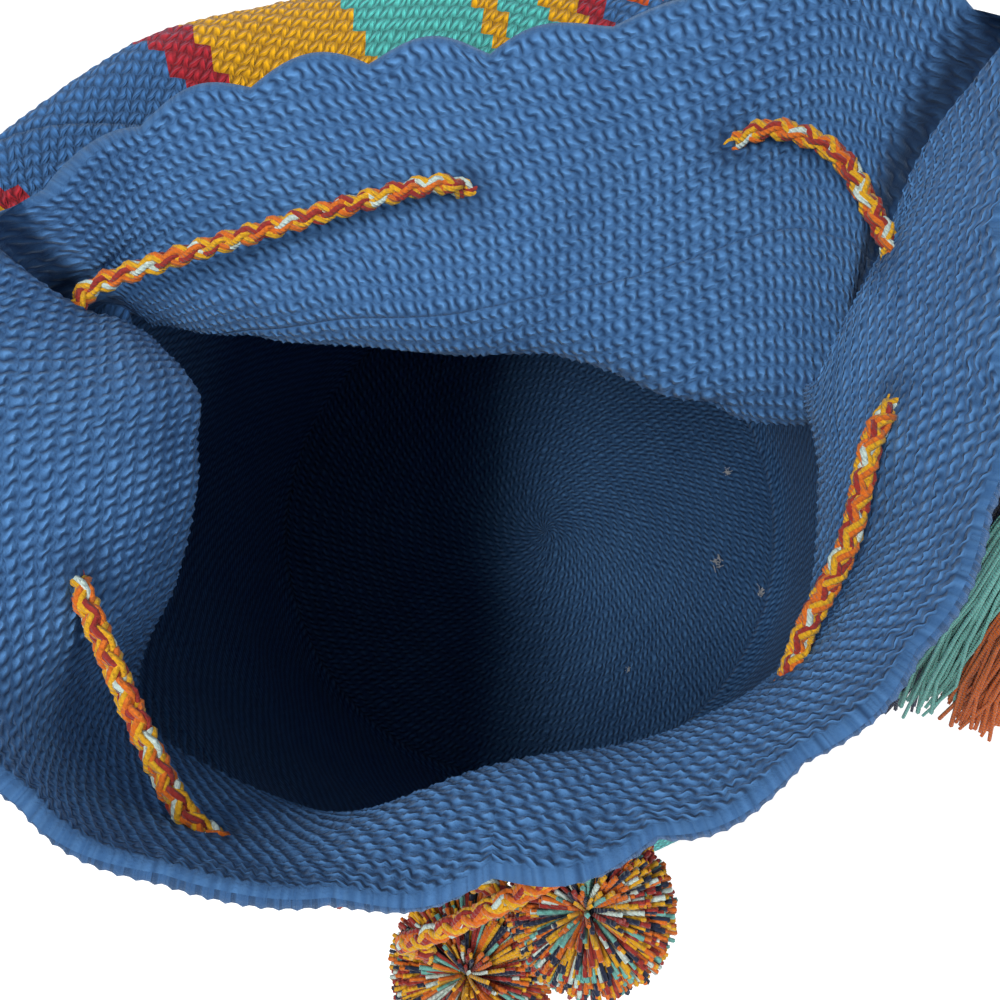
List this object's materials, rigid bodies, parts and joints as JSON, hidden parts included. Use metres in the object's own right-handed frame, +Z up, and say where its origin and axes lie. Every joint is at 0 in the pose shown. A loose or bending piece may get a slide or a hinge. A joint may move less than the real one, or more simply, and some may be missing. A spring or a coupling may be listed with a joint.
{
  "type": "crocheted drawstring shoulder bag",
  "caption": "Round-based bucket shoulder bag of crocheted cotton, with a folded collar mouth, drawstring with pompoms, woven strap and yarn tassels.",
  "frame": {"origin": "middle of the round base, on the surface that the bag stands on", "axes": "+Z up out of the mouth, -Y towards the front where the drawstring's ends come out, +X to the right seen from the front"},
  "size_m": [0.3062, 0.3314, 0.3007],
  "materials": {
    "crochet_blue": "matt single-crochet cotton in plain blue, with a stepped pattern of coloured yarns outside",
    "braided_cord": "round braid of orange, golden yellow, brick red and pale mint cotton yarn",
    "pompom_yarn": "cut ends of orange, yellow, dark red, navy and mint yarn",
    "woven_strap": "firm hand-woven cotton band in turquoise, with stripes and small diamonds",
    "yarn_turquoise": "loose twisted cotton yarn",
    "yarn_navy": "loose twisted cotton yarn",
    "yarn_orange": "loose twisted cotton yarn",
    "yarn_ochre": "loose twisted cotton yarn"
  },
  "bodies": {
    "root": {"bag_body": "crochet_blue", "drawstring": "braided_cord", "pompom_left": "pompom_yarn", "pompom_right": "pompom_yarn", "strap": "woven_strap", "tassel_right_turquoise": "yarn_turquoise", "binding_right_turquoise": "yarn_turquoise", "tassel_right_navy": "yarn_navy", "binding_right_navy": "yarn_navy", "tassel_right_orange": "yarn_orange", "binding_right_orange": "yarn_orange", "tassel_right_ochre": "yarn_ochre", "binding_right_ochre": "yarn_ochre", "tassel_cord_right": "braided_cord", "tassel_left_turquoise": "yarn_turquoise", "binding_left_turquoise": "yarn_turquoise", "tassel_left_navy": "yarn_navy", "binding_left_navy": "yarn_navy", "tassel_left_orange": "yarn_orange", "binding_left_orange": "yarn_orange", "tassel_left_ochre": "yarn_ochre", "binding_left_ochre": "yarn_ochre", "tassel_cord_left": "braided_cord"}
  },
  "joints": []
}
